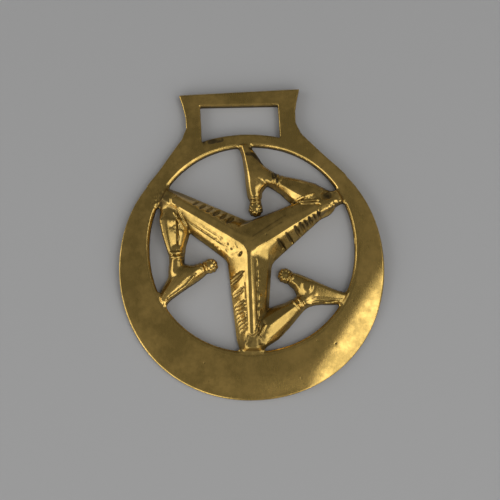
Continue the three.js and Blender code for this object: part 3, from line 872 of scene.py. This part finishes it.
# %% Brass
# the third colour is the near-black of grime and of painted shade alike
BRIGHT, DULL, GRIME_AND_SHADE = (0.93, 0.615, 0.18, 1), (0.55, 0.37, 0.105, 1), (0.08, 0.055, 0.02, 1)
brass.use_nodes = True
shader = brass.node_tree.nodes["Principled BSDF"]
shader.inputs["IOR"].default_value = 1.5


def mix(factor, a, b):
    """Mixes two colours."""
    return put(brass.node_tree, "ShaderNodeMix", {0: factor, 6: a, 7: b}, 2, data_type="RGBA")


def span(value, start, end, low=0.0, high=1.0):
    """A value between start and end, spread over low to high."""
    return put(brass.node_tree, "ShaderNodeMapRange", {"Value": value, 1: start, 2: end, 3: low, 4: high})


def noise(grain, detail, stretch=(1, 1, 1), turn=0.0):
    """Noise whose grain is so many millimetres wide, on the piece's own coordinates."""
    place = put(brass.node_tree, "ShaderNodeTexCoord", {}, "Object")
    place = put(brass.node_tree, "ShaderNodeMapping", {"Vector": place, "Scale": stretch,
                                                       "Rotation": (0, 0, turn)})
    return put(brass.node_tree, "ShaderNodeTexNoise", {"Vector": place, "Scale": 1 / (grain * MM),
                                                       "Detail": detail, "Roughness": 0.6})


def total(a, b, operation="ADD"):
    """The sum of two values, or another operation on them."""
    return put(brass.node_tree, "ShaderNodeMath", {0: a, 1: b}, operation=operation)


hollows_and_shade = put(brass.node_tree, "ShaderNodeAttribute", {}, "Fac", attribute_name="hollow")
clouds, mottle, grain = noise(9, 4), noise(1.6, 4), noise(0.35, 3)
scratches = noise(0.9, 2, (7, 0.5, 1), radians(35))
tarnish = total(span(clouds, 0.4, 0.6, 0, 0.8), span(mottle, 0.35, 0.65, 0, 0.55))
tarnish = total(tarnish, span(hollows_and_shade, -0.3, 0.25, -0.45, 0.3))
colour = mix(span(tarnish, 0, 1), BRIGHT, DULL)
# the near-black mix: grime in the hollows and marks, together with the painted shade that rides in the same
# attribute
dirt_and_shade = total(span(hollows_and_shade, 0.08, 0.85, 0, 1.0), span(mottle, 0.3, 0.7, 0.55, 1.25), "MULTIPLY")
# painted shade: the more upright a face stands, the darker it is painted, walls most and steep slopes less
painted_wall_shade = put(brass.node_tree, "ShaderNodeTexCoord", {}, "Normal")
painted_wall_shade = put(brass.node_tree, "ShaderNodeSeparateXYZ", {0: painted_wall_shade}, "Z")
painted_wall_shade = span(put(brass.node_tree, "ShaderNodeMath", {0: painted_wall_shade}, operation="ABSOLUTE"), 0.1, 0.7, 0.85, 0)
dirt_and_shade = total(dirt_and_shade, painted_wall_shade)
specks = total(span(grain, 0.66, 0.72), span(mottle, 0.5, 0.62), "MULTIPLY")
dirt_and_shade = span(total(dirt_and_shade, total(specks, 0.6, "MULTIPLY")), 0, 1)
links = brass.node_tree.links
links.new(mix(dirt_and_shade, colour, GRIME_AND_SHADE), shader.inputs["Base Color"])
links.new(span(dirt_and_shade, 0, 1, 1.0, 0.7), shader.inputs["Metallic"])
polish = total(span(tarnish, 0, 1, 0.14, 0.25), span(dirt_and_shade, 0, 1, 0, 0.3))
links.new(total(polish, span(scratches, 0.3, 0.7, -0.04, 0.05)), shader.inputs["Roughness"])
relief = total(span(grain, 0, 1, 0, 0.6), span(scratches, 0.3, 0.7, 0, 0.4))
relief = total(relief, span(mottle, 0, 1, 0, 1.2))
SKIN_DEEP, SKIN_STRENGTH = 0.04, 0.14
bump = put(brass.node_tree, "ShaderNodeBump", {"Height": relief, "Strength": SKIN_STRENGTH,
                                               "Distance": SKIN_DEEP * MM})
links.new(bump, shader.inputs["Normal"])
casting_mesh.materials.append(brass)
print("brass with", len(brass.node_tree.nodes), "nodes")

# %% [markdown]
# ## The casting in its frame
# Nothing on a brass moves, so the casting rides on the one body. It stands for the plain solid of the same
# object, and takes its finish.

# %% The piece in the frame
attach(casting, "root")
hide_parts("horse_brass")
print(casting.name, "rides on root")

# %% [markdown]
# ## Floor and light
# A pale plain floor, and four soft panels of light: two low beyond the foot of the brass, one low at its left
# and one high at its right. A polished relief shows its form by what it mirrors, so the flat faces mirror the
# dim ceiling between the panels, and every slope that faces a panel flashes.

# %% Floor and light
REACH = 1.5
floor_mesh = bpy.data.meshes.new("floor")
floor_mesh.from_pydata([(-REACH, -REACH, 0), (REACH, -REACH, 0), (REACH, REACH, 0), (-REACH, REACH, 0)], [],
                       [(0, 1, 2, 3)])
floor = bpy.data.objects.new("floor", floor_mesh)
scene.collection.objects.link(floor)
plaster = bpy.data.materials.new("pale_floor")
plaster.use_nodes = True
floor_shader = plaster.node_tree.nodes["Principled BSDF"]
floor_shader.inputs["Base Color"].default_value = (0.62, 0.62, 0.62, 1)
floor_shader.inputs["Roughness"].default_value = 0.9
floor_mesh.materials.append(plaster)


def soft_panel(name, compass, off_zenith, wide, tall, radiance, distance=1.2):
    """A soft panel of light that faces the brass. Compass is degrees from the top of the brass, clockwise
    seen from above; wide and tall are how many degrees it spans, seen from the brass."""
    size = [2 * distance * tan(radians(degrees) / 2) for degrees in (wide, tall)]
    data = bpy.data.lights.new(name, "AREA")
    data.shape, data.size, data.size_y = "RECTANGLE", *size
    data.energy = radiance * pi * size[0] * size[1]
    light = bpy.data.objects.new(name, data)
    scene.collection.objects.link(light)
    flat = sin(radians(off_zenith))
    way = Vector((sin(radians(compass)) * flat, cos(radians(compass)) * flat, cos(radians(off_zenith))))
    light.location = way * distance
    light.rotation_mode = "QUATERNION"
    light.rotation_quaternion = way.to_track_quat("Z", "Y")
    print(name, "spans", wide, "by", tall, "degrees at", [round(v, 2) for v in light.location])


soft_panel("high_panel", 111, 31, 36, 26, 1.5)
soft_panel("side_panel", 273, 70, 40, 42, 1.25)
soft_panel("foot_panel_left", 222, 70, 54, 34, 1.25)
soft_panel("foot_panel_right", 136, 62, 56, 30, 1.3)
SOUTH_GLOW, NORTH_GLOW = 0.19, 0.11
world = bpy.data.worlds.new("room")
world.use_nodes = True
look = put(world.node_tree, "ShaderNodeTexCoord", {}, "Generated")
northward = put(world.node_tree, "ShaderNodeSeparateXYZ", {0: look}, "Y")
dimming = put(world.node_tree, "ShaderNodeMapRange", {"Value": northward, 1: -0.3, 2: 0.9, 3: SOUTH_GLOW,
                                                      4: NORTH_GLOW})
world.node_tree.links.new(dimming, world.node_tree.nodes["Background"].inputs["Strength"])
world.node_tree.nodes["Background"].inputs["Color"].default_value = (1, 1, 1, 1)
scene.world = world
scene.view_settings.view_transform = "Standard"
